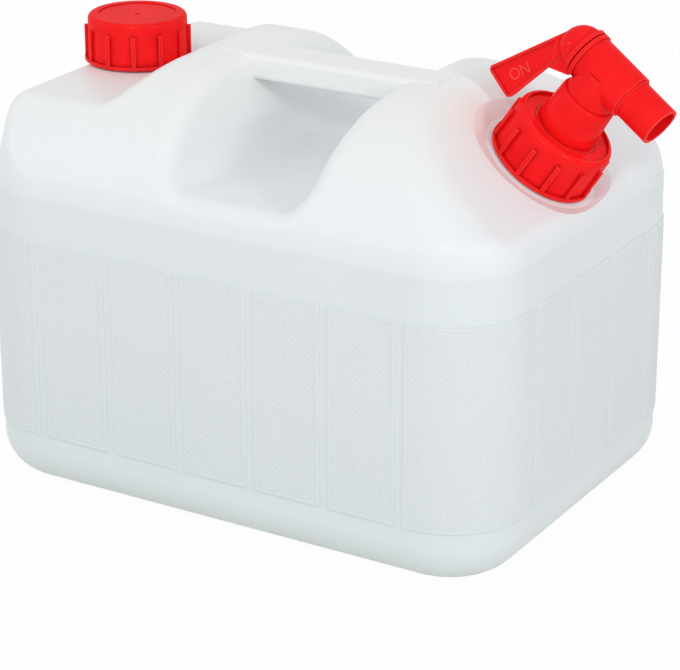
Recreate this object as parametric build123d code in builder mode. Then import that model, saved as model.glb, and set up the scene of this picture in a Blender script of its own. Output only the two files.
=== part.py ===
"""Ten litre water jerrycan with a filler cap and a turning tap.

One hollow blow-moulded canister carries two equal screw necks. A ribbed cap closes
the upright neck. A ribbed nut, open in the middle, holds the tap on the slanted neck.
The tap is a plug valve: lever, plug and spout are one piece that turns in its barrel.

X runs along the canister towards the tap, Z is up, and the origin is at the middle
of the base.
"""
import os
from math import cos, radians, sin, sqrt, tan

from build123d import *

# Canister, overall
body_length = 300.0
body_width = 221.0
plan_corner_radius = 39.0
base_edge_radius = 22.0
wall = 1.5
base_recess_depth = 2.0
base_recess_margin = 34.0
base_recess_radius = 22.0
base_land_width = 14.0

# Canister, top: a leaning skirt cut by an arch across and by the top line along.
# Rises are counted from the shoulder crease, where the skirt meets the arch. The left
# hump follows the filler neck, the right one the tap's slope, and the grip fills the rest,
# so the radii of its floor may take up to a share of its width.
side_height = 159.5
lean_angle = 13.5
lean_rise = 11.0
crest_rise = 48.5
roof_margin = 5.0
arch_radius = 88.0
plateau_rise = 32.0
grip_floor_rise = 3.0
grip_floor_radius = 14.0
grip_floor_share = 0.98
left_wall_angle = 75.0
right_wall_angle = 84.0
left_hump_width = 28.0
right_hump_width = 27.3
hump_outer_angle = 50.0
hump_foot_radius = 9.0
hump_cap_clearance = 5.642
plateau_rim_radius = 11.0
grip_rim_radius = 10.0
slope_rim_radius = 30.0
rim_least_turn = 25.0

# Handle
handle_height = 13.5
handle_depth = 24.0
handle_edge_radius = 3.0
handle_rise = 0.6
handle_wall = 2.2
handle_root = 18.0
handle_bore_root = 8.0

# Textured side panels
panel_thickness = 0.6
panel_bottom = 30.6
panel_top = 136.4
long_side_panels = 5
long_side_pitch = 41.8
short_side_panels = 3
short_side_pitch = 40.7
groove_width = 4.5

# Screw necks, both alike
neck_end_distance = 32.5
neck_outer_radius = 22.6
neck_bore_radius = 19.4
neck_bead_radius = 23.6
neck_bead_height = 2.0
neck_root_depth = 10.0
neck_bore_depth = 12.0
cap_seat_gap = 1.1

# Filler cap and tap nut share one ribbed skirt
cap_height = 24.0
cap_flange_radius = 28.0
cap_flange_thickness = 1.6
cap_skirt_radius = 26.3
cap_draft_angle = 1.0
cap_inner_radius = 24.0
cap_edge_radius = 2.5
cap_top_thickness = 2.2
cap_dish_radius = 20.5
cap_dish_depth = 0.6
gate_pip_radius = 1.0
gate_pip_height = 0.5
rib_count = 12
rib_radius = 27.8
rib_width = 2.2
rib_height = 17.5
seal_radius = 23.6
seal_thickness = 1.8

# Tap slope and neck: the slope rises from the crease, and the seat lies sunk in it
tap_tilt = 34.3
tap_seat_along = 31.2
tap_seat_sink = 3.6
tap_aim = 6.3
pocket_radius = 31.0
pocket_wall_angle = 68.0
pocket_clear_height = 40.0
nut_top_thickness = 3.2
nut_hole_radius = 17.5
nut_rim_radius = 23.6
nut_dish_depth = 1.5

# Tap body, heights counted from the nut's lower edge
tap_flange_radius = 22.8
tap_flange_thickness = 2.4
stub_base_radius = 15.8
stub_draft_angle = 3.4
stub_rim_radius = 1.8
stub_top_height = 44.1
stub_bore_radius = 12.6
collar_clearance = 0.3
collar_lip = 0.5
tap_neck_radius = 12.8
tap_port_radius = 5.0
barrel_height = 59.3
barrel_radius = 11.8
barrel_start = -13.6
barrel_end = 16.5
bead_radius = 12.7
bead_width = 2.0

# Tap lever: blade, hub, plug and spout in one, counted from the two tap axes
plug_radius = 10.3
plug_clearance = 0.05
snap_bead_height = 0.3
snap_bead_width = 1.2
snap_gap = 0.2
spout_bore_radius = 8.7
spout_end = 36.8
plug_floor = -13.0
hub_start = -14.6
hub_bead_radius = 12.7
hub_bead_width = 2.0
dome_centre = -17.0
dome_radius = 11.5
blade_thickness = 2.8
blade_rim_width = 1.4
blade_recess_depth = 0.8
blade_corner_radius = 2.4
blade_tip_high = (-43.7, -50.6)
blade_tip_low = (-48.1, -32.5)
blade_panel_low = (-15.5, -24.6)
blade_panel_high = (-3.1, -30.7)
blade_root_low = (-5.6, -22.2)
blade_root_high = (2.0, -28.2)
tab_corners = ((-9.0, -14.8), (-14.9, -14.8), (-19.6, -25.2), (-9.0, -22.8))
tab_thickness = 3.0

# Places and heights that follow from the sizes above
half_length = body_length / 2
half_width = body_width / 2
recess_length = body_length - 2 * base_recess_margin
recess_width = half_width - base_recess_margin - base_land_width / 2
crease_height = side_height + lean_rise
crest_height = crease_height + crest_rise
plateau_height = crease_height + plateau_rise
grip_floor_height = crease_height + grip_floor_rise
crease_inset = lean_rise * tan(radians(lean_angle))
crease_x = half_length - crease_inset
slope_crest_x = crease_x - crest_rise / tan(radians(tap_tilt))
grip_depth = crest_rise - grip_floor_rise
neck_x = neck_end_distance - half_length
left_hump_foot_x = neck_x + cap_flange_radius + hump_cap_clearance
left_hump_outer_x = left_hump_foot_x + (crest_rise - plateau_rise) / tan(radians(hump_outer_angle))
left_hump_inner_x = left_hump_outer_x + left_hump_width
right_hump_inner_x = slope_crest_x - right_hump_width
floor_left_x = left_hump_inner_x + grip_depth / tan(radians(left_wall_angle))
floor_right_x = right_hump_inner_x - grip_depth / tan(radians(right_wall_angle))
grip_floor_width = floor_right_x - floor_left_x
corner_reach = tan(radians(left_wall_angle / 2)) + tan(radians(right_wall_angle / 2))
floor_corner_radius = min(grip_floor_radius, grip_floor_share * grip_floor_width / corner_reach)
left_hump_middle_x = (left_hump_outer_x + left_hump_inner_x) / 2
right_hump_middle_x = (right_hump_inner_x + slope_crest_x) / 2
slope_middle_x = (slope_crest_x + crease_x) / 2
neck_height = cap_seat_gap + cap_height - cap_top_thickness - seal_thickness
tap_flange_top = cap_height - nut_top_thickness
tap_flange_foot = tap_flange_top - tap_flange_thickness
tap_seal_foot = tap_flange_foot - seal_thickness
tap_neck_height = cap_seat_gap + tap_seal_foot
filler_seat = Plane(origin=(neck_x, 0, plateau_height))
cap_plane = filler_seat.offset(cap_seat_gap)
tap_axis = Vector(sin(radians(tap_tilt)), 0, cos(radians(tap_tilt)))
down_slope = Vector(cos(radians(tap_tilt)), 0, -sin(radians(tap_tilt)))
tap_foot = Vector(crease_x, 0, crease_height) - down_slope * tap_seat_along - tap_axis * tap_seat_sink
tap_seat = Plane(origin=tap_foot, x_dir=down_slope, z_dir=tap_axis)
nut_plane = tap_seat.offset(cap_seat_gap)
aimed_plane = Plane(
    origin=nut_plane.origin,
    x_dir=down_slope.rotate(Axis((0, 0, 0), tap_axis), -tap_aim),
    z_dir=tap_axis,
)
barrel_plane = Plane(
    origin=aimed_plane.offset(barrel_height).origin,
    x_dir=aimed_plane.z_dir,
    z_dir=aimed_plane.x_dir,
)


def section_line(x, z, angle, inset):
    """A line of the top section, moved by the inset into the material below it."""
    turn = radians(angle)
    return x + inset * sin(turn), z - inset * cos(turn), turn


def crossing(first, second):
    """Where two section lines cross."""
    x1, z1, a1 = first
    x2, z2, a2 = second
    along = ((x2 - x1) * sin(a2) - (z2 - z1) * cos(a2)) / sin(a2 - a1)
    return x1 + along * cos(a1), z1 + along * sin(a1)


def top_section(inset):
    """The canister's section along X: plateau, two humps, hand grip and tap slope."""
    roof = section_line(0, crest_height + roof_margin, 0, 0)
    plateau = section_line(neck_x, plateau_height, 0, inset)
    outer = section_line(left_hump_outer_x, crest_height, hump_outer_angle, inset)
    left_inner = section_line(left_hump_inner_x, crest_height, -left_wall_angle, inset)
    floor = section_line(0, grip_floor_height, 0, inset)
    right_inner = section_line(right_hump_inner_x, crest_height, right_wall_angle, inset)
    slope = section_line(crease_x, crease_height, -tap_tilt, inset)
    west = section_line(-body_length, 0, 90, 0)
    east = section_line(body_length, 0, 90, 0)
    ground = section_line(0, -roof_margin, 0, 0)
    foot = crossing(plateau, outer)
    grip_left = crossing(left_inner, floor)
    grip_right = crossing(floor, right_inner)
    corners = [
        crossing(west, plateau),
        foot,
        crossing(outer, roof),
        crossing(left_inner, roof),
        grip_left,
        grip_right,
        crossing(right_inner, roof),
        crossing(slope, roof),
        crossing(slope, east),
        crossing(east, ground),
        crossing(west, ground),
    ]
    with BuildSketch(Plane.XZ.offset(-body_width)) as section:
        with BuildLine():
            Polyline(*corners, close=True)
        make_face()
        fillet(section.vertices().sort_by_distance(foot)[0], hump_foot_radius + inset)
        for corner in (grip_left, grip_right):
            fillet(section.vertices().sort_by_distance(corner)[0], floor_corner_radius + inset)
    return section.sketch


def arch_section(inset):
    """The canister's section across: one arch from shoulder to shoulder."""
    run = sqrt(2 * arch_radius * crest_rise - crest_rise * crest_rise)
    flat = half_width - crease_inset - run
    radius = arch_radius - inset
    centre = crest_height - arch_radius
    side = flat + radius
    with BuildSketch(Plane.YZ.offset(-body_length)) as section:
        with BuildLine():
            Line((flat, centre + radius), (-flat, centre + radius))
            CenterArc((-flat, centre), radius, 90, 90)
            Polyline((-side, centre), (-side, -roof_margin), (side, -roof_margin), (side, centre))
            CenterArc((flat, centre), radius, 0, 90)
        make_face()
    return section.sketch


def rim_edges(form, low_x, high_x):
    """The edges of the top between two places along X, without the smooth seams."""
    near = form.edges().filter_by_position(Axis.X, low_x, high_x)
    near = near.filter_by_position(Axis.Z, side_height, crest_height + roof_margin)
    return near.filter_by(lambda edge: turn_across(form, edge) > rim_least_turn)


def turn_across(form, edge):
    """The angle between the two faces that meet along an edge."""
    middle = edge.position_at(0.5)
    sides = [face.normal_at(middle) for face in form.faces() if edge in face.edges()]
    return sides[0].get_angle(sides[1])


def canister_form(inset):
    """The canister's outer form, or its hollow when drawn a wall thickness inside."""
    length = body_length - 2 * inset
    width = body_width - 2 * inset
    corner = plan_corner_radius - inset
    pocket_shift = inset * (1 - sin(radians(pocket_wall_angle))) / cos(radians(pocket_wall_angle))
    with BuildPart() as form:
        with BuildSketch(Plane.XY.offset(inset)):
            RectangleRounded(length, width, corner)
        extrude(amount=side_height - inset)
        fillet(form.edges().group_by(Axis.Z)[0], base_edge_radius - inset)
        with BuildSketch(Plane.XY.offset(side_height)):
            RectangleRounded(length, width, corner)
        extrude(amount=crest_height - side_height + roof_margin, taper=lean_angle)
        extrude(arch_section(inset), amount=2 * body_length, mode=Mode.INTERSECT)
        extrude(top_section(inset), amount=2 * body_width, mode=Mode.INTERSECT)
        fillet(rim_edges(form, right_hump_middle_x, slope_middle_x), slope_rim_radius - inset)
        fillet(rim_edges(form, -half_length, left_hump_middle_x), plateau_rim_radius - inset)
        fillet(rim_edges(form, left_hump_middle_x, right_hump_middle_x), grip_rim_radius - inset)
        with BuildSketch(tap_seat.offset(-inset)):
            Circle(pocket_radius + pocket_shift)
        extrude(amount=pocket_clear_height, taper=-pocket_wall_angle, mode=Mode.SUBTRACT)
        with BuildSketch(Plane.XY):
            with GridLocations(0, recess_width + base_land_width, 1, 2):
                RectangleRounded(
                    recess_length + 2 * inset,
                    recess_width + 2 * inset,
                    base_recess_radius + inset,
                )
        extrude(amount=base_recess_depth + inset, mode=Mode.SUBTRACT)
    return form.part


def ribbed_skirt(plane):
    """The outside that the filler cap and the tap nut share, with their thread bore."""
    with BuildPart() as skirt:
        with BuildSketch(plane):
            Circle(cap_skirt_radius)
        extrude(amount=cap_height, taper=cap_draft_angle)
        fillet(skirt.faces().sort_by(Axis(plane.origin, plane.z_dir))[-1].edges(), cap_edge_radius)
        with BuildSketch(plane):
            Circle(cap_flange_radius)
        extrude(amount=cap_flange_thickness)
        with BuildSketch(plane):
            with PolarLocations(cap_inner_radius + (rib_radius - cap_inner_radius) / 2, rib_count):
                Rectangle(rib_radius - cap_inner_radius, rib_width)
        extrude(amount=rib_height)
    return skirt.part


# Canister: outer form, handle, side panels and necks, then the hollow and the bores
outer_form = canister_form(0)
inner_form = canister_form(wall)
handle_top = crest_height + handle_rise
handle_start = Plane.YZ.offset(left_hump_inner_x - handle_root)
handle_length = right_hump_inner_x - left_hump_inner_x + 2 * handle_root
bore_start = Plane.YZ.offset(left_hump_inner_x - handle_bore_root)
bore_length = right_hump_inner_x - left_hump_inner_x + 2 * handle_bore_root
with BuildPart() as canister_body:
    add(outer_form)
    with BuildSketch(handle_start):
        with Locations((0, handle_top - handle_height / 2)):
            RectangleRounded(handle_depth, handle_height, handle_edge_radius)
    extrude(amount=handle_length)
    with BuildSketch(Plane.XY.offset(panel_bottom)):
        RectangleRounded(
            body_length + 2 * panel_thickness,
            body_width + 2 * panel_thickness,
            plan_corner_radius + panel_thickness,
        )
        with GridLocations(long_side_pitch, body_width + panel_thickness, long_side_panels + 1, 2):
            Rectangle(groove_width, panel_thickness, mode=Mode.SUBTRACT)
        with GridLocations(body_length + panel_thickness, short_side_pitch, 2, short_side_panels + 1):
            Rectangle(panel_thickness, groove_width, mode=Mode.SUBTRACT)
    extrude(amount=panel_top - panel_bottom)
    for seat, height in ((filler_seat, neck_height), (tap_seat, tap_neck_height)):
        with BuildSketch(seat.offset(-neck_root_depth)):
            Circle(neck_outer_radius)
        extrude(amount=neck_root_depth + height)
        with BuildSketch(seat.offset(-neck_root_depth)):
            Circle(neck_bead_radius)
        extrude(amount=neck_root_depth + neck_bead_height)
    add(inner_form, mode=Mode.SUBTRACT)
    with BuildSketch(bore_start):
        with Locations((0, handle_top - handle_height / 2)):
            Rectangle(handle_depth - 2 * handle_wall, handle_height - 2 * handle_wall)
    extrude(amount=bore_length, mode=Mode.SUBTRACT)
    for seat, height in ((filler_seat, neck_height), (tap_seat, tap_neck_height)):
        with BuildSketch(seat.offset(-neck_bore_depth)):
            Circle(neck_bore_radius)
        extrude(amount=neck_bore_depth + height, mode=Mode.SUBTRACT)

# Filler cap: closed top with a shallow dish and the moulding's gate pip
cap_skirt = ribbed_skirt(cap_plane)
with BuildPart() as filler_cap:
    add(cap_skirt)
    with BuildSketch(cap_plane):
        Circle(cap_inner_radius)
    extrude(amount=cap_height - cap_top_thickness, mode=Mode.SUBTRACT)
    with BuildSketch(cap_plane.offset(cap_height - cap_dish_depth)):
        Circle(cap_dish_radius)
    extrude(amount=cap_dish_depth, mode=Mode.SUBTRACT)
    with BuildSketch(cap_plane.offset(cap_height - cap_dish_depth)):
        Circle(gate_pip_radius)
    extrude(amount=gate_pip_height)

# Filler cap seal: a flat disc between the cap and the neck's mouth
with BuildPart() as filler_cap_seal:
    with BuildSketch(cap_plane.offset(cap_height - cap_top_thickness - seal_thickness)):
        Circle(seal_radius)
    extrude(amount=seal_thickness)

# Tap nut: the same skirt, dished and open in the middle for the tap
nut_skirt = ribbed_skirt(nut_plane)
with BuildPart() as tap_ring_nut:
    add(nut_skirt)
    with BuildSketch(nut_plane):
        Circle(cap_inner_radius)
    extrude(amount=cap_height - nut_top_thickness, mode=Mode.SUBTRACT)
    with BuildSketch(nut_plane):
        Circle(nut_hole_radius)
    extrude(amount=cap_height, mode=Mode.SUBTRACT)
    with BuildSketch(nut_plane.offset(cap_height - nut_dish_depth)):
        Circle(nut_rim_radius)
    extrude(amount=nut_dish_depth, mode=Mode.SUBTRACT)

# Tap seal: a flat ring between the tap's flange and the neck's mouth
with BuildPart() as tap_seal:
    with BuildSketch(nut_plane.offset(tap_seal_foot)):
        Circle(neck_outer_radius)
        Circle(neck_bore_radius, mode=Mode.SUBTRACT)
    extrude(amount=seal_thickness)

# Tap body: flange, tapered stub, neck and the barrel across it
with BuildPart() as tap_body:
    with BuildSketch(aimed_plane.offset(tap_flange_foot)):
        Circle(tap_flange_radius)
    extrude(amount=tap_flange_thickness)
    with BuildSketch(aimed_plane.offset(tap_flange_foot)):
        Circle(stub_base_radius)
    extrude(amount=stub_top_height - tap_flange_foot, taper=stub_draft_angle)
    top_rim = tap_body.faces().sort_by(Axis(aimed_plane.origin, aimed_plane.z_dir))[-1].edges()
    fillet(top_rim, stub_rim_radius)
    with BuildSketch(aimed_plane.offset(tap_flange_top)):
        Circle(nut_hole_radius - collar_clearance)
    extrude(amount=nut_top_thickness - nut_dish_depth + collar_lip)
    with BuildSketch(aimed_plane.offset(tap_flange_top)):
        Circle(tap_neck_radius)
    extrude(amount=barrel_height - tap_flange_top)
    with BuildSketch(barrel_plane.offset(barrel_start)):
        Circle(barrel_radius)
    extrude(amount=barrel_end - barrel_start)
    with BuildSketch(barrel_plane.offset(barrel_start)):
        Circle(bead_radius)
    extrude(amount=bead_width)
    with BuildSketch(aimed_plane.offset(tap_flange_foot)):
        Circle(stub_bore_radius)
    extrude(amount=stub_top_height - stub_rim_radius - tap_flange_foot, mode=Mode.SUBTRACT)
    with BuildSketch(aimed_plane.offset(tap_flange_foot)):
        Circle(tap_port_radius)
    extrude(amount=barrel_height - tap_flange_foot, mode=Mode.SUBTRACT)
    with BuildSketch(barrel_plane.offset(barrel_start)):
        Circle(plug_radius + plug_clearance)
    extrude(amount=barrel_end - barrel_start, mode=Mode.SUBTRACT)

# Tap lever: blade, domed hub, hollow plug and spout in one moulding
blade_plane = Plane(origin=barrel_plane.origin, x_dir=barrel_plane.x_dir, z_dir=-barrel_plane.y_dir)
with BuildPart() as tap_lever:
    with BuildSketch(barrel_plane.offset(hub_start)):
        Circle(plug_radius)
    extrude(amount=spout_end - hub_start)
    with BuildSketch(barrel_plane.offset(hub_start - hub_bead_width)):
        Circle(hub_bead_radius)
    extrude(amount=hub_bead_width)
    with BuildSketch(barrel_plane.offset(barrel_end + snap_gap)):
        Circle(plug_radius + snap_bead_height)
    extrude(amount=snap_bead_width)
    with BuildSketch(blade_plane):
        with Locations((0, dome_centre)):
            Circle(dome_radius)
        with Locations((0, hub_start)):
            Rectangle(
                2 * dome_radius,
                2 * dome_radius,
                align=(Align.MIN, Align.MAX),
                mode=Mode.INTERSECT,
            )
    revolve(axis=Axis(barrel_plane.origin, barrel_plane.z_dir))
    with BuildSketch(blade_plane.offset(-blade_thickness / 2)) as outline:
        Polygon(blade_root_high, blade_tip_high, blade_tip_low, blade_root_low, align=None)
        for tip in (blade_tip_high, blade_tip_low):
            fillet(outline.vertices().sort_by_distance(tip)[0], blade_corner_radius)
    extrude(amount=blade_thickness)
    with BuildSketch(
        blade_plane.offset(blade_thickness / 2 - blade_recess_depth),
        blade_plane.offset(-blade_thickness / 2),
    ):
        Polygon(blade_panel_high, blade_tip_high, blade_tip_low, blade_panel_low, align=None)
        offset(amount=-blade_rim_width, mode=Mode.REPLACE)
    extrude(amount=blade_recess_depth, mode=Mode.SUBTRACT)
    with BuildSketch(blade_plane.offset(-tab_thickness / 2)):
        Polygon(*tab_corners, align=None)
    extrude(amount=tab_thickness)
    with BuildSketch(barrel_plane.offset(plug_floor)):
        Circle(spout_bore_radius)
    extrude(amount=spout_end - plug_floor, mode=Mode.SUBTRACT)
    with BuildSketch(blade_plane):
        Circle(tap_port_radius)
    extrude(amount=plug_radius + plug_clearance, mode=Mode.SUBTRACT)

os.makedirs("parts", exist_ok=True)
canister_body.part.label = "canister_body"
export_step(canister_body.part, "parts/canister_body.step")
filler_cap.part.label = "filler_cap"
export_step(filler_cap.part, "parts/filler_cap.step")
filler_cap_seal.part.label = "filler_cap_seal"
export_step(filler_cap_seal.part, "parts/filler_cap_seal.step")
tap_ring_nut.part.label = "tap_ring_nut"
export_step(tap_ring_nut.part, "parts/tap_ring_nut.step")
tap_seal.part.label = "tap_seal"
export_step(tap_seal.part, "parts/tap_seal.step")
tap_body.part.label = "tap_body"
export_step(tap_body.part, "parts/tap_body.step")
tap_lever.part.label = "tap_lever"
export_step(tap_lever.part, "parts/tap_lever.step")
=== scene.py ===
"""Looks of the jerrycan with tap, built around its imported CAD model.

The canister, cap, nut, tap and seals are the CAD nodes themselves and get procedural
finishes here. New pieces are what the solids leave out: the pips pressed into the side
panels, the screw threads on both necks and the raised words on the lever.
"""
from __future__ import annotations

import logging
import math
from dataclasses import dataclass, field
from enum import Enum
from typing import Callable, Sequence
import bpy
import numpy as np
from mathutils import Matrix, Vector


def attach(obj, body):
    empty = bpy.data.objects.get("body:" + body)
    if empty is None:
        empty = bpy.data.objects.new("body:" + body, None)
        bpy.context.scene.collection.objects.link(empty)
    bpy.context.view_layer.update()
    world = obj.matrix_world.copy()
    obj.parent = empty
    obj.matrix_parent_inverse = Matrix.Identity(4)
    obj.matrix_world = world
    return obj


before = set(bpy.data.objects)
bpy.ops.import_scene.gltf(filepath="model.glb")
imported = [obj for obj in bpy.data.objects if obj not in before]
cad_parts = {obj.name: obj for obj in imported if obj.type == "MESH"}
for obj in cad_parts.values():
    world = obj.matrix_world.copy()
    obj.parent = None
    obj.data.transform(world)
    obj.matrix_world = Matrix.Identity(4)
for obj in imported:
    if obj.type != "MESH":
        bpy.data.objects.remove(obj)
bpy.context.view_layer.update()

log = logging.getLogger("jerrycan")

MM = 0.001
# The mesh layer that marks the hollows between the pips, where the shell gets painted shade.
PIT_SHADE_LAYER = "pit_shade"


class Body(str, Enum):
    """The CAD bodies that pieces ride on."""

    CANISTER = "canister"
    CAP = "cap"
    NUT = "nut"
    TAP = "tap"
    LEVER = "lever"


class Slot(str, Enum):
    """The record's material slots."""

    SHELL = "canister_shell"
    CAP = "cap_plastic"
    TAP = "tap_plastic"
    SEAL = "seal_rubber"


class Num:
    """A number socket with arithmetic, so shader maths reads as an expression."""

    def __init__(self, shader: "Shader", socket: bpy.types.NodeSocket) -> None:
        """Wraps an output socket of one shader.

        Args:
            shader: The shader that the socket belongs to.
            socket: The output socket that carries the number.
        """
        self.shader = shader
        self.socket = socket

    def _math(self, operation: str, first: object, second: object) -> "Num":
        """Adds one Math node and returns its result."""
        return self.shader.node("ShaderNodeMath", {"operation": operation}, {0: first, 1: second})

    def __add__(self, other: object) -> "Num":
        """This plus another number."""
        return self._math("ADD", self, other)

    def __radd__(self, other: object) -> "Num":
        """Another number plus this."""
        return self._math("ADD", other, self)

    def __sub__(self, other: object) -> "Num":
        """This minus another number."""
        return self._math("SUBTRACT", self, other)

    def __rsub__(self, other: object) -> "Num":
        """Another number minus this."""
        return self._math("SUBTRACT", other, self)

    def __mul__(self, other: object) -> "Num":
        """This times another number."""
        return self._math("MULTIPLY", self, other)

    def __rmul__(self, other: object) -> "Num":
        """Another number times this."""
        return self._math("MULTIPLY", other, self)


class Shader:
    """One material's node tree, with a single way to add nodes."""

    def __init__(self, name: str) -> None:
        """Starts an empty node material.

        Args:
            name: The material's name.
        """
        self.material = bpy.data.materials.new(name)
        self.material.use_nodes = True
        self.tree = self.material.node_tree
        self.tree.nodes.clear()

    def node(self, kind: str, settings: dict | None = None, inputs: dict | None = None,
             output: int | str = 0) -> Num:
        """Adds a node, sets it up and feeds its sockets.

        Args:
            kind: The node's type.
            settings: Its properties, such as a Math node's operation.
            inputs: Values or links for its sockets, by index or name.
            output: Which output to return.

        Returns:
            The chosen output socket, wrapped.
        """
        made = self.tree.nodes.new(kind)
        for key, value in (settings or {}).items():
            if key == "stops":
                self._set_stops(made.color_ramp, value)
            else:
                setattr(made, key, value)
        for key, value in (inputs or {}).items():
            if isinstance(value, Num):
                self.tree.links.new(value.socket, made.inputs[key])
            else:
                made.inputs[key].default_value = value
        outputs = made.outputs
        return Num(self, outputs[output]) if len(outputs) else None

    @staticmethod
    def _set_stops(ramp: bpy.types.ColorRamp, stops: Sequence[tuple[float, Sequence[float]]]) -> None:
        """Sets a colour ramp's stops, from (place, colour) pairs."""
        while len(ramp.elements) < len(stops):
            ramp.elements.new(0.5)
        for element, (place, colour) in zip(ramp.elements, stops):
            element.position = place
            element.color = (*colour, 1.0)

    def place(self) -> Num:
        """Object coordinates, which are the part's own frame in metres."""
        return self.node("ShaderNodeTexCoord", output="Object")

    def height(self, low: float, high: float) -> Num:
        """How far a point's height lies between two heights, from 0 to 1.

        Args:
            low: The height that gives 0, in metres.
            high: The height that gives 1, in metres.

        Returns:
            The clamped share.
        """
        level = self.node("ShaderNodeSeparateXYZ", inputs={0: self.place()}, output=2)
        return self.node("ShaderNodeMapRange", {"clamp": True},
                         {"Value": level, "From Min": low, "From Max": high})

    def noise(self, scale: float, detail: float = 2.0) -> Num:
        """A noise in object space, from 0 to 1."""
        return self.node("ShaderNodeTexNoise", inputs={"Vector": self.place(), "Scale": scale,
                                                       "Detail": detail})

    def crease(self, reach: float, inside: bool = False) -> Num:
        """How much a point lies in a crease, or near an outer edge when looked at from inside.

        Args:
            reach: How far the piece's own faces count, in metres.
            inside: Whether to look into the solid, which finds its outer edges.

        Returns:
            The share, 0 on a plain face.
        """
        open_share = self.node("ShaderNodeAmbientOcclusion",
                               {"samples": 8, "inside": inside, "only_local": True},
                               {"Distance": reach}, output="AO")
        return 1.0 - open_share

    def finish(self, **sockets: object) -> bpy.types.Material:
        """Closes the tree with one Principled shader.

        Args:
            sockets: Principled inputs, with underscores for spaces.

        Returns:
            The finished material.
        """
        named = {key.replace("_", " "): value for key, value in sockets.items()}
        surface = self.node("ShaderNodeBsdfPrincipled", inputs=named)
        self.node("ShaderNodeOutputMaterial", inputs={"Surface": surface})
        return self.material


@dataclass(frozen=True)
class MilkyShell:
    """Milky, translucent blow-moulded polyethylene with water behind its lower part."""

    # The bottom colour lies under the water like lit; its extra darkness towards the bottom is painted
    # shade.
    wet_with_painted_shade: tuple[float, float, float] = (0.755, 0.800, 0.790)
    lit: tuple[float, float, float] = (0.780, 0.818, 0.832)
    dry: tuple[float, float, float] = (0.840, 0.865, 0.880)
    handle: tuple[float, float, float] = (0.890, 0.893, 0.875)
    # Painted shade for the hollows between the pips.
    pit_shade: tuple[float, float, float] = (0.990, 0.992, 0.992)
    water_line: float = 0.158
    dry_line: float = 0.171
    crest: float = 0.219
    roughness: float = 0.42

    def material(self) -> bpy.types.Material:
        """Builds the finish.

        Returns:
            The material: colour falls with height, partly for the water behind the wall and partly as
                painted shade towards the bottom, the hollows between the pips are darkened as painted
                shade, and the skin has a faint moulded grain.
        """
        shader = Shader("milky_shell")
        # Darker towards the bottom: the step at the water line is the water behind the wall, the fall
        # below it is painted shade.
        low = shader.node("ShaderNodeValToRGB", {"stops": (
            (0.0, self.wet_with_painted_shade), (0.45, self.lit), (self.water_line / self.crest, self.lit),
            (self.dry_line / self.crest, self.dry), (1.0, self.handle))},
            {0: shader.height(0.0, self.crest)})
        cloud = shader.noise(9.0, 3.0)
        mottled = shader.node("ShaderNodeMix", {"data_type": "RGBA", "blend_type": "MULTIPLY"},
                              {0: 0.10, 6: low, 7: shader.node(
                                  "ShaderNodeValToRGB",
                                  {"stops": ((0.3, (0.86, 0.88, 0.88)), (0.7, (1.0, 1.0, 1.0)))},
                                  {0: cloud})}, output=2)
        # The hollows between the pips are darkened: painted shade.
        pit_shade_mask = shader.node("ShaderNodeAttribute", {"attribute_name": PIT_SHADE_LAYER}, output="Fac")
        pressed = shader.node("ShaderNodeMix", {"data_type": "RGBA", "blend_type": "MULTIPLY"},
                              {0: pit_shade_mask, 6: mottled, 7: (*self.pit_shade, 1.0)}, output=2)
        grain = shader.noise(900.0, 2.0)
        bump = shader.node("ShaderNodeBump", inputs={"Strength": 0.06, "Distance": 0.0004,
                                                     "Height": grain})
        return shader.finish(Base_Color=pressed, Roughness=self.roughness + 0.08 * (grain - 0.5),
                             Normal=bump, IOR=1.5, Subsurface_Weight=0.15,
                             Subsurface_Radius=(1.0, 1.0, 1.0), Subsurface_Scale=0.0015,
                             Specular_IOR_Level=0.30)


@dataclass(frozen=True)
class RedPlastic:
    """Glossy red injection-moulded plastic."""

    name: str
    deep: tuple[float, float, float] = (0.90, 0.0080, 0.0095)
    bright: tuple[float, float, float] = (0.98, 0.0120, 0.0135)
    # The dark red that the creases and recesses take: painted shade.
    painted_crease_shade: tuple[float, float, float] = (0.30, 0.0010, 0.0015)
    # The lighter red along outer edges: a painted highlight.
    rim: tuple[float, float, float] = (0.98, 0.0900, 0.0900)
    crease_reach: float = 3.0 * MM
    edge_highlight_reach: float = 0.8 * MM
    gloss: float = 0.17
    roughness: float = 0.24

    def material(self) -> bpy.types.Material:
        """Builds the finish.

        Returns:
            The material: a slightly uneven red with faint flow marks in its gloss, painted shade in its
                creases and painted highlights along its outer edges.
        """
        shader = Shader(self.name)
        cloud = shader.noise(60.0, 2.0)
        colour = shader.node("ShaderNodeValToRGB",
                             {"stops": ((0.25, self.deep), (0.6, self.bright))}, {0: cloud})
        # Painted shade in the creases and recesses, from ambient occlusion.
        crease_shaded = shader.node("ShaderNodeMix", {"data_type": "RGBA"},
                              {0: shader.crease(self.crease_reach) * 0.9, 6: colour,
                               7: (*self.painted_crease_shade, 1.0)}, output=2)
        # Painted highlight along the outer edges.
        edge_highlighted = shader.node("ShaderNodeMix", {"data_type": "RGBA"},
                             {0: shader.crease(self.edge_highlight_reach, inside=True) * 0.8, 6: crease_shaded,
                              7: (*self.rim, 1.0)}, output=2)
        skin = shader.noise(650.0, 3.0)
        bump = shader.node("ShaderNodeBump", inputs={"Strength": 0.05, "Distance": 0.0003,
                                                     "Height": skin})
        return shader.finish(Base_Color=edge_highlighted, Roughness=self.roughness + 0.10 * (skin - 0.5),
                             Normal=bump, IOR=1.5, Specular_IOR_Level=0.0,
                             Coat_Weight=self.gloss, Coat_Roughness=0.12)


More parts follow.
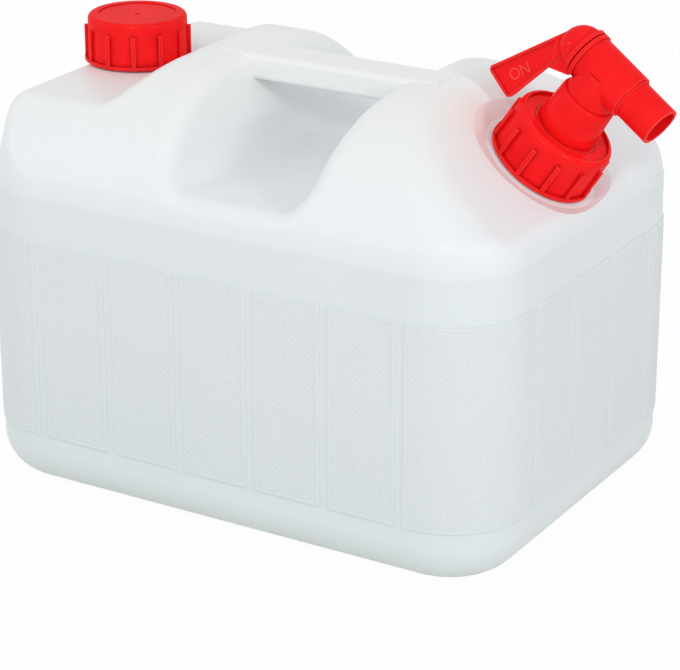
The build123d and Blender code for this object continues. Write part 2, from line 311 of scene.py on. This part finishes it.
@dataclass(frozen=True)
class SealRubber:
    """Matt off-white sealing material, foamed and slightly pitted."""

    light: tuple[float, float, float] = (0.72, 0.71, 0.68)
    dark: tuple[float, float, float] = (0.60, 0.59, 0.56)

    def material(self) -> bpy.types.Material:
        """Builds the finish.

        Returns:
            The material, with fine pits in its bump.
        """
        shader = Shader("seal_foam")
        pits = shader.noise(1500.0, 2.0)
        colour = shader.node("ShaderNodeValToRGB",
                             {"stops": ((0.35, self.dark), (0.6, self.light))}, {0: pits})
        bump = shader.node("ShaderNodeBump", inputs={"Strength": 0.3, "Distance": 0.0003,
                                                     "Height": pits})
        return shader.finish(Base_Color=colour, Roughness=0.75 + 0.1 * (pits - 0.5), Normal=bump)


def surface(name: str, points: np.ndarray, faces: Sequence[Sequence[int]],
            material: bpy.types.Material, smooth: bool = True) -> bpy.types.Object:
    """Makes a mesh object from points in the part's frame.

    Args:
        name: The piece's name.
        points: Its vertices, in metres, as rows of x, y, z.
        faces: Its faces, as vertex indices.
        material: The finish.
        smooth: Whether its faces are shaded smooth.

    Returns:
        The object, linked to the scene.
    """
    mesh = bpy.data.meshes.new(name)
    mesh.from_pydata(points.reshape(-1, 3), [], faces)
    mesh.polygons.foreach_set("use_smooth", np.full(len(mesh.polygons), smooth))
    mesh.materials.append(material)
    mesh.validate()
    piece = bpy.data.objects.new(name, mesh)
    bpy.context.scene.collection.objects.link(piece)
    return piece


def grid_faces(rows: int, columns: int, first: int = 0) -> np.ndarray:
    """The quads of a rows by columns grid whose points run along the columns first."""
    corner = (np.arange(rows - 1)[:, None] * columns + np.arange(columns - 1)[None, :]).ravel() + first
    return np.stack([corner, corner + 1, corner + columns + 1, corner + columns], axis=1)


@dataclass
class PanelSkin:
    """The pressed pips and the soft rim of one textured side panel.

    The skin is a height over the panel's own face: h(u, v) = rim + pip, where u runs
    along the side and v upwards. The pips sit on a lattice of staggered rows, and each is
    a raised cosine. The outermost ring dips into the wall, and a back closes the piece.
    """

    pitch: float = 3.3 * MM
    pip_height: float = 0.36 * MM
    pip_radius: float = 1.35 * MM
    rim_height: float = 0.22 * MM
    rim_width: float = 1.3 * MM
    edge_margin: float = 1.8 * MM
    wide_margin: float = 4.2 * MM
    sunk: float = 0.25 * MM
    skin: float = 0.02 * MM
    step: float = 0.6 * MM

    def height(self, u: np.ndarray, v: np.ndarray, width: float, tall: float) -> np.ndarray:
        """How far the skin stands off the panel's face.

        Args:
            u: Places along the side, from 0 to the width.
            v: Places upwards, from 0 to the panel's height.
            width: The panel's width.
            tall: The panel's height.

        Returns:
            The height at each place, in metres.
        """
        row_gap = self.pitch * 0.5
        row = np.round(v / row_gap)
        shift = np.where(row % 2 == 0, 0.0, 0.5 * self.pitch)
        du = (u - shift + 0.5 * self.pitch) % self.pitch - 0.5 * self.pitch
        dv = v - row * row_gap
        near = np.clip(np.hypot(du, dv) / self.pip_radius, 0.0, 1.0)
        pip = self.pip_height * 0.5 * (1.0 + np.cos(np.pi * near))
        edge = np.minimum(np.minimum(u, width - u), np.minimum(v, tall - v))
        from_margin = np.minimum(edge - self.edge_margin, width - u - self.wide_margin)
        inside = np.clip(from_margin / self.pip_radius, 0.0, 1.0)
        from_rim = np.clip(np.abs(edge - 0.6 * self.rim_width) / self.rim_width, 0.0, 1.0)
        rim = self.rim_height * 0.5 * (1.0 + np.cos(np.pi * from_rim))
        raised = pip * inside + rim + self.skin
        return np.where(edge <= 1e-9, -self.sunk, raised)

    def build(self, name: str, width: float, tall: float,
              carry: Callable[[np.ndarray, np.ndarray, np.ndarray], np.ndarray],
              material: bpy.types.Material) -> bpy.types.Object:
        """Builds one panel's skin.

        Args:
            name: The piece's name.
            width: The panel's width along the side.
            tall: The panel's height.
            carry: Takes u, v and height, and gives points in the part's frame.
            material: The finish.

        Returns:
            The skin as a closed mesh object.
        """
        columns = max(int(round(width / self.step)), 8) + 1
        rows = int(round(tall / self.step)) + 1
        u, v = np.meshgrid(np.linspace(0.0, width, columns), np.linspace(0.0, tall, rows))
        stand = self.height(u, v, width, tall)
        points = carry(u, v, stand)
        faces = grid_faces(rows, columns).tolist()
        top = (rows - 1) * columns
        left = [r * columns for r in range(rows)]
        right = [r * columns + columns - 1 for r in range(rows)]
        faces.append(left + [top + 1, 1])
        faces += [[k, top + k, top + k + 1, k + 1] for k in range(1, columns - 2)]
        faces.append([columns - 2, top + columns - 2] + right[::-1])
        piece = surface(name, points, faces, material)
        # Marks how low the skin sits between the pips, for painted shade in the shell's colour.
        layer = piece.data.attributes.new(PIT_SHADE_LAYER, "FLOAT", "POINT")
        pit_shade = 1.0 - np.clip(stand / (self.skin + self.pip_height), 0.0, 1.0)
        layer.data.foreach_set("value", pit_shade.ravel().astype(np.float32))
        return piece


@dataclass
class ScrewThread:
    """A moulded screw thread round a neck.

    The ridge is a raised-cosine bump across the thread, carried along a helix: the point
    at turn t and width w stands at radius r(t, w), angle t and height start + pitch t + w.
    """

    root_radius: float = 22.5 * MM
    crest_radius: float = 23.45 * MM
    pitch: float = 5.0 * MM
    turns: float = 2.2
    start: float = 6.5 * MM
    half_width: float = 1.3 * MM
    steps_per_turn: int = 72
    steps_across: int = 9

    def build(self, name: str, origin: Vector, axis: Vector, across: Vector,
              material: bpy.types.Material) -> bpy.types.Object:
        """Builds the thread on one neck.

        Args:
            name: The piece's name.
            origin: The neck's foot, in metres.
            axis: The neck's unit axis.
            across: A unit vector square to the axis.
            material: The finish.

        Returns:
            The thread as a closed mesh object.
        """
        steps = int(self.steps_per_turn * self.turns)
        turn = np.linspace(0.0, 2.0 * np.pi * self.turns, steps + 1)[:, None]
        across_ridge = np.linspace(-1.0, 1.0, self.steps_across)[None, :]
        fade = np.clip(np.minimum(turn, turn[-1] - turn) / 0.35, 0.0, 1.0)
        lift = (self.crest_radius - self.root_radius) * fade
        radius = self.root_radius + lift * 0.5 * (1.0 + np.cos(np.pi * across_ridge)) - 0.05 * MM
        back = np.full((steps + 1, 1), self.root_radius - 0.5 * MM)
        radius = np.concatenate([radius, back, back], axis=1)
        width = np.concatenate([across_ridge, [[1.0, -1.0]]], axis=1) * self.half_width
        height = self.start + self.pitch * turn / (2.0 * np.pi) + width
        side = np.cross(np.array(axis), np.array(across))
        ring = (radius * np.cos(turn))[..., None] * np.array(across)
        ring = ring + (radius * np.sin(turn))[..., None] * side
        points = np.array(origin) + ring + height[..., None] * np.array(axis)
        loop = self.steps_across + 2
        index = np.arange(steps * loop)
        following = index + 1 - np.where(index % loop == loop - 1, loop, 0)
        faces = np.stack([index, index + loop, following + loop, following], axis=1).tolist()
        faces.append(list(range(loop)))
        faces.append(list(range((steps + 1) * loop - 1, steps * loop - 1, -1)))
        return surface(name, points, faces, material)


@dataclass
class Canister:
    """The milky shell with its pressed panels and threaded necks."""

    length: float = 300.0 * MM
    width: float = 221.0 * MM
    corner: float = 39.0 * MM
    panel_proud: float = 0.6 * MM
    panel_bottom: float = 30.6 * MM
    panel_top: float = 136.4 * MM
    long_pitch: float = 41.8 * MM
    short_pitch: float = 40.7 * MM
    groove: float = 4.5 * MM
    filler_foot: tuple[float, float, float] = (-117.5 * MM, 0.0, 202.5 * MM)
    tap_foot: tuple[float, float, float] = (119.556 * MM, 0.0, 185.108 * MM)
    tap_tilt: float = math.radians(34.3)
    finish: MilkyShell = MilkyShell()
    skin: PanelSkin = field(default_factory=PanelSkin)

    def outline(self, along: np.ndarray) -> tuple[np.ndarray, np.ndarray]:
        """The panels' outline in plan, walked counter-clockwise.

        The walk starts in the middle of the side that faces -Y, runs to the +X corner and
        on round the part. Straight runs and quarter circles follow each other.

        Args:
            along: Distances walked, in metres.

        Returns:
            The points and the outward directions, as rows of x and y.
        """
        half_x = self.length / 2 + self.panel_proud
        half_y = self.width / 2 + self.panel_proud
        radius = self.corner + self.panel_proud
        long_run, short_run = 2 * (half_x - radius), 2 * (half_y - radius)
        arc = 0.5 * np.pi * radius
        total = 2 * (long_run + short_run) + 4 * arc
        walk = (along + 0.5 * long_run) % total
        points = np.zeros(along.shape + (2,))
        normals = np.zeros(along.shape + (2,))
        begin = 0.0
        centres = ((half_x - radius, -half_y + radius), (half_x - radius, half_y - radius),
                   (-half_x + radius, half_y - radius), (-half_x + radius, -half_y + radius))
        for side, (run, centre) in enumerate(zip((long_run, short_run) * 2, centres)):
            facing = -0.5 * np.pi + side * 0.5 * np.pi
            ahead = np.array([-math.sin(facing), math.cos(facing)])
            out = np.array([math.cos(facing), math.sin(facing)])
            on_run = (walk >= begin) & (walk < begin + run)
            gone = (walk - begin - run)[..., None]
            straight = np.array(centre) + out * radius + gone * ahead
            points = np.where(on_run[..., None], straight, points)
            normals = np.where(on_run[..., None], out, normals)
            begin += run
            on_arc = (walk >= begin) & (walk < begin + arc)
            angle = facing + (walk - begin) / radius
            turned = np.stack([np.cos(angle), np.sin(angle)], axis=-1)
            points = np.where(on_arc[..., None], np.array(centre) + radius * turned, points)
            normals = np.where(on_arc[..., None], turned, normals)
            begin += arc
        return points, normals

    def panel_ranges(self) -> list[tuple[float, float]]:
        """Where each panel starts and how wide it is, along the outline.

        Returns:
            Start and width of every panel, flat and corner ones alike.
        """
        half_x = self.length / 2 + self.panel_proud
        half_y = self.width / 2 + self.panel_proud
        radius = self.corner + self.panel_proud
        quarter = (half_x - radius) + 0.5 * np.pi * radius + (half_y - radius)
        long_grooves = [(k - 2.5) * self.long_pitch for k in range(6)]
        short_grooves = [quarter + (k - 1.5) * self.short_pitch for k in range(4)]
        grooves = long_grooves + short_grooves
        grooves += [2 * quarter + place for place in grooves]
        edges = grooves + [grooves[0] + 4 * quarter]
        return [(a + self.groove / 2, b - a - self.groove) for a, b in zip(edges, edges[1:])]

    def build(self) -> list[bpy.types.Object]:
        """Dresses the shell and builds its panels' skins and its threads.

        Returns:
            The new pieces.
        """
        material = self.finish.material()
        dress("canister_body", material)
        pieces = []
        tall = self.panel_top - self.panel_bottom
        for number, (start, width) in enumerate(self.panel_ranges(), start=1):
            def carry(u: np.ndarray, v: np.ndarray, height: np.ndarray,
                      start: float = start) -> np.ndarray:
                """Wraps a panel's skin round the outline."""
                points, normals = self.outline(start + u)
                plan = points + height[..., None] * normals
                return np.concatenate([plan, (self.panel_bottom + v)[..., None]], axis=-1)
            pieces.append(self.skin.build(f"panel_skin_{number:02d}", width, tall, carry, material))
        thread = ScrewThread()
        pieces.append(thread.build("filler_neck_thread", Vector(self.filler_foot), Vector((0, 0, 1)),
                                   Vector((1, 0, 0)), material))
        tap_axis = Vector((math.sin(self.tap_tilt), 0, math.cos(self.tap_tilt)))
        down_slope = Vector((math.cos(self.tap_tilt), 0, -math.sin(self.tap_tilt)))
        short = ScrewThread(turns=1.6, start=5.5 * MM)
        pieces.append(short.build("tap_neck_thread", Vector(self.tap_foot), tap_axis, down_slope,
                                  material))
        for piece in pieces:
            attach(piece, Body.CANISTER.value)
        return pieces


@dataclass
class Closures:
    """The red filler cap, the tap nut and the two seals."""

    red: RedPlastic = RedPlastic("cap_red")
    seal: SealRubber = SealRubber()

    def build(self) -> list[bpy.types.Object]:
        """Dresses the nodes.

        Returns:
            No new pieces: the nodes' own shapes are right.
        """
        red = self.red.material()
        foam = self.seal.material()
        dress("filler_cap", red)
        dress("tap_ring_nut", red)
        dress("filler_cap_seal", foam)
        dress("tap_seal", foam)
        return []


@dataclass
class Tap:
    """The tap's body and its lever, with the words on both faces of the blade."""

    red: RedPlastic = RedPlastic("tap_red")
    tilt: float = math.radians(34.3)
    aim: float = math.radians(-6.3)
    foot: tuple[float, float, float] = (119.556 * MM, 0.0, 185.108 * MM)
    barrel_rise: float = 60.4 * MM
    word_place: tuple[float, float] = (-35.8 * MM, -32.9 * MM)
    word_turn: float = math.radians(-64.0)
    word_size: float = 8.2 * MM
    word_raise: float = 0.30 * MM
    panel_face: float = 0.6 * MM

    def axes(self) -> tuple[Vector, Vector, Vector, Vector]:
        """The barrel's centre, its own axis, the direction square to both, and the tap's axis."""
        up = Vector((math.sin(self.tilt), 0, math.cos(self.tilt)))
        slope = Vector((math.cos(self.tilt), 0, -math.sin(self.tilt)))
        along = slope * math.cos(self.aim) + Vector((0, 1, 0)) * math.sin(self.aim)
        centre = Vector(self.foot) + self.barrel_rise * up
        return centre, along, up.cross(along), up

    def word(self, text: str, face: float, material: bpy.types.Material) -> bpy.types.Object:
        """Makes one raised word on a face of the blade.

        Args:
            text: The word.
            face: -1 for the face towards -Y, 1 for the other.
            material: The finish.

        Returns:
            The word as a mesh object.
        """
        curve = bpy.data.curves.new(f"word_{text.lower()}", "FONT")
        curve.body = text
        curve.size = self.word_size
        curve.extrude = self.word_raise / 2
        curve.align_x = "CENTER"
        curve.align_y = "CENTER"
        curve.resolution_u = 4
        letters = bpy.data.objects.new(curve.name, curve)
        bpy.context.scene.collection.objects.link(letters)
        bpy.context.view_layer.update()
        mesh = bpy.data.meshes.new_from_object(letters.evaluated_get(
            bpy.context.evaluated_depsgraph_get()))
        bpy.data.objects.remove(letters)
        centre, along, side, up = self.axes()
        out = side * face
        reading = along * math.cos(self.word_turn) - up * math.sin(self.word_turn)
        tall = out.cross(reading)
        place = (centre + along * self.word_place[0] + up * self.word_place[1]
                 + out * (self.panel_face + self.word_raise / 2))
        turn = Matrix((reading, tall, out)).transposed().to_4x4()
        mesh.transform(Matrix.Translation(place) @ turn)
        mesh.name = f"lever_word_{text.lower()}"
        mesh.materials.clear()
        mesh.materials.append(material)
        piece = bpy.data.objects.new(mesh.name, mesh)
        bpy.context.scene.collection.objects.link(piece)
        return piece

    def build(self) -> list[bpy.types.Object]:
        """Dresses the tap's nodes and adds the words.

        Returns:
            The new pieces.
        """
        red = self.red.material()
        dress("tap_body", red)
        dress("tap_lever", red)
        pieces = [self.word("ON", -1.0, red), self.word("OFF", 1.0, red)]
        for piece in pieces:
            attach(piece, Body.LEVER.value)
        return pieces


def dress(node: str, material: bpy.types.Material) -> None:
    """Gives a CAD node its finish.

    Args:
        node: The node's name.
        material: The finish.
    """
    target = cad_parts[node]
    for slot in target.material_slots:
        slot.material = material
    if not target.material_slots:
        target.data.materials.append(material)


@dataclass
class Studio:
    """The photograph's camera, a plain floor and soft light."""

    lens: float = 143.9
    sensor: float = 36.0
    position: tuple[float, float, float] = (0.6832, -1.1294, 0.5981)
    yaw: float = math.radians(30.95)
    pitch: float = math.radians(21.80)
    floor_size: float = 12.0
    floor_grey: float = 0.86
    floor_white: float = 0.96

    def camera(self) -> None:
        """Places the camera at the photograph's viewing angle."""
        data = bpy.data.cameras.new("photo_camera")
        data.lens = self.lens
        data.sensor_width = self.sensor
        data.sensor_fit = "HORIZONTAL"
        data.clip_start = 0.05
        data.clip_end = 50.0
        camera = bpy.data.objects.new("photo_camera", data)
        camera.location = self.position
        camera.rotation_euler = (math.pi / 2 - self.pitch, 0.0, self.yaw)
        bpy.context.scene.collection.objects.link(camera)
        bpy.context.scene.camera = camera

    def floor(self) -> None:
        """Lays a white floor that keeps a faint contact shadow."""
        shader = Shader("studio_floor")
        rays = shader.tree.nodes.new("ShaderNodeLightPath").outputs
        seen = shader.node("ShaderNodeMath", {"operation": "MAXIMUM"},
                           {0: Num(shader, rays["Is Camera Ray"]), 1: Num(shader, rays["Is Glossy Ray"])})
        seen = shader.node("ShaderNodeMath", {"operation": "MAXIMUM"},
                           {0: seen, 1: Num(shader, rays["Is Transmission Ray"])})
        paper = shader.node("ShaderNodeBsdfDiffuse", inputs={
            "Color": (self.floor_grey, self.floor_grey, self.floor_grey, 1.0)})
        white = shader.node("ShaderNodeEmission", inputs={"Color": (1.0, 1.0, 1.0, 1.0),
                                                          "Strength": 1.0})
        mixed = shader.node("ShaderNodeMixShader", inputs={0: seen * self.floor_white, 1: paper,
                                                           2: white})
        shader.node("ShaderNodeOutputMaterial", inputs={"Surface": mixed})
        half = self.floor_size / 2
        corners = np.array([(-half, -half, 0), (half, -half, 0), (half, half, 0), (-half, half, 0)])
        floor = surface("studio_floor", corners, [(0, 1, 2, 3)], shader.material, smooth=False)

    def world(self) -> None:
        """Sets a plain world: white to the camera, soft grey as light."""
        world = bpy.data.worlds.new("studio_world")
        bpy.context.scene.world = world
        world.use_nodes = True
        tree = world.node_tree
        tree.nodes.clear()
        rays = tree.nodes.new("ShaderNodeLightPath")
        soft = tree.nodes.new("ShaderNodeBackground")
        soft.inputs["Color"].default_value = (0.96, 0.98, 1.0, 1.0)
        soft.inputs["Strength"].default_value = 0.72
        white = tree.nodes.new("ShaderNodeBackground")
        white.inputs["Color"].default_value = (1.0, 1.0, 1.0, 1.0)
        white.inputs["Strength"].default_value = 1.0
        mix = tree.nodes.new("ShaderNodeMixShader")
        out = tree.nodes.new("ShaderNodeOutputWorld")
        seen = rays.outputs["Is Camera Ray"]
        for kind in ("Is Glossy Ray", "Is Transmission Ray"):
            either = tree.nodes.new("ShaderNodeMath")
            either.operation = "MAXIMUM"
            tree.links.new(seen, either.inputs[0])
            tree.links.new(rays.outputs[kind], either.inputs[1])
            seen = either.outputs[0]
        tree.links.new(seen, mix.inputs[0])
        tree.links.new(soft.outputs[0], mix.inputs[1])
        tree.links.new(white.outputs[0], mix.inputs[2])
        tree.links.new(mix.outputs[0], out.inputs["Surface"])

    def lamp(self, name: str, place: tuple[float, float, float], size: float, power: float) -> None:
        """Hangs one square soft lamp that points at the part.

        Args:
            name: The lamp's name.
            place: Where it hangs, in metres.
            size: Its side, in metres.
            power: Its power, in watts.
        """
        data = bpy.data.lights.new(name, "AREA")
        data.shape = "SQUARE"
        data.size = size
        data.energy = power
        lamp = bpy.data.objects.new(name, data)
        lamp.location = place
        aim = Vector((0.0, 0.0, 0.12)) - Vector(place)
        lamp.rotation_euler = aim.to_track_quat("-Z", "Y").to_euler()
        bpy.context.scene.collection.objects.link(lamp)

    def build(self) -> None:
        """Sets up the whole studio."""
        bpy.context.scene.view_settings.view_transform = "Standard"
        self.camera()
        self.floor()
        self.world()
        self.lamp("key_lamp", (0.5, -1.5, 1.3), 0.3, 6.0)
        self.lamp("right_lamp", (1.7, -0.6, 0.8), 0.3, 5.5)
        self.lamp("left_lamp", (-1.5, -0.9, 1.0), 0.3, 3.0)


def main() -> None:
    """Builds the studio and every sub-assembly, and reports each piece."""
    logging.basicConfig(level=logging.INFO, format="%(name)s: %(message)s")
    Studio().build()
    for assembly in (Canister(), Closures(), Tap()):
        made = assembly.build()
        log.info("%s: %d new pieces", type(assembly).__name__, len(made))
        for piece in made:
            log.info("  %s, %d faces", piece.name, len(piece.data.polygons))


if __name__ == "__main__":
    main()
